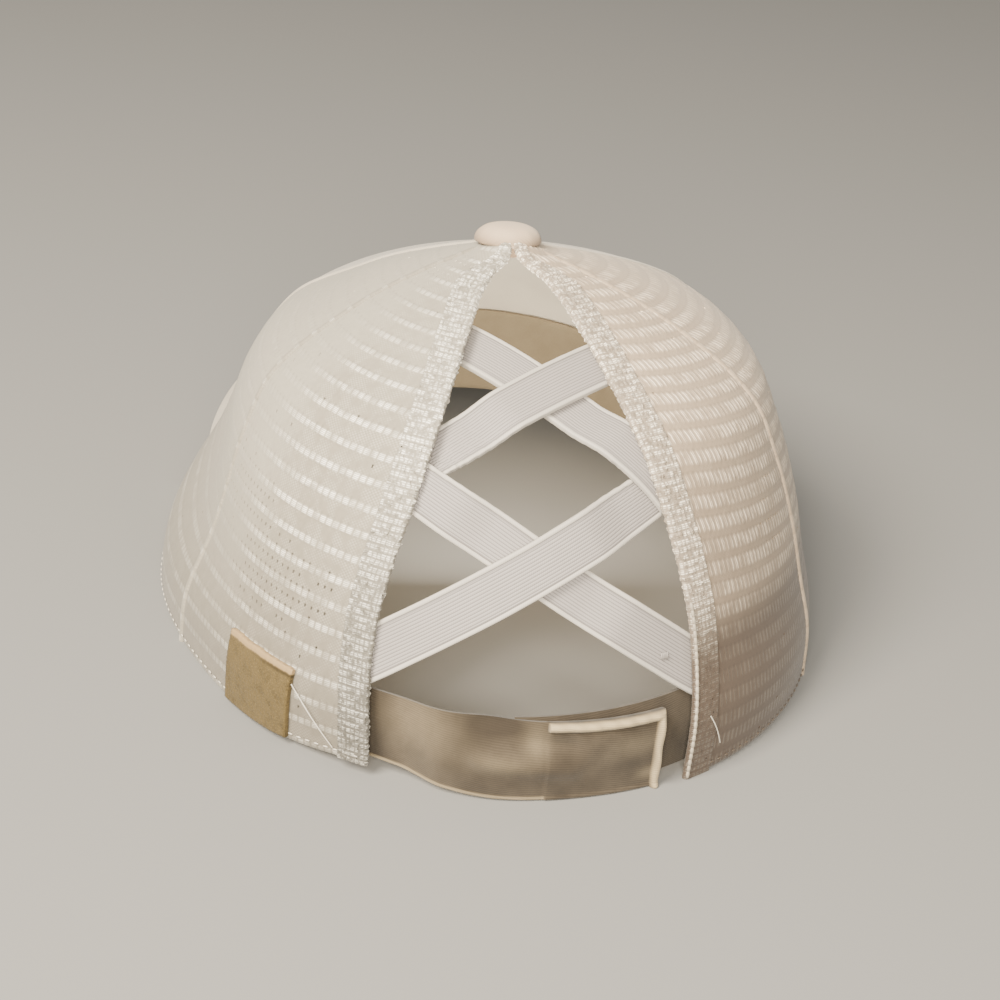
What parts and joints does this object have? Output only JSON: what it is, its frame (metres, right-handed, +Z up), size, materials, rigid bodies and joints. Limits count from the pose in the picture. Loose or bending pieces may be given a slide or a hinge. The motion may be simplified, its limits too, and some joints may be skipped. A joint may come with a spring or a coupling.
{
  "type": "ponytail baseball cap",
  "caption": "Cap with a curved peak, net back and a tall laced opening for a ponytail above a hook-and-loop closure strap.",
  "frame": {"origin": "middle of the bounding box on the surface that the cap rests on", "axes": "+Z up, -Y the way the peak points, +X the wearer's left"},
  "size_m": [0.1686, 0.2647, 0.1035],
  "materials": {
    "net": "off-white open ladder net with a soft sheen",
    "edging": "doubled net edge, stitched flat",
    "twill": "off-white cotton twill",
    "elastic": "ribbed woven elastic",
    "tape": "beige cotton twill tape",
    "suede": "bare tan suede"
  },
  "bodies": {
    "root": {"front_panel_left": "twill", "front_panel_right": "twill", "peak": "twill", "side_panel_left": "net", "side_panel_right": "net", "back_panel_left": "net", "back_panel_right": "net", "opening_fold_left": "edging", "opening_fold_right": "edging", "elastic_band_1": "elastic", "elastic_band_2": "elastic", "elastic_band_3": "elastic", "elastic_band_4": "elastic", "sweatband": "tape", "closure_strap_left": "tape", "closure_strap_right": "tape", "crown_button": "tape", "label_tag": "suede"}
  },
  "joints": []
}
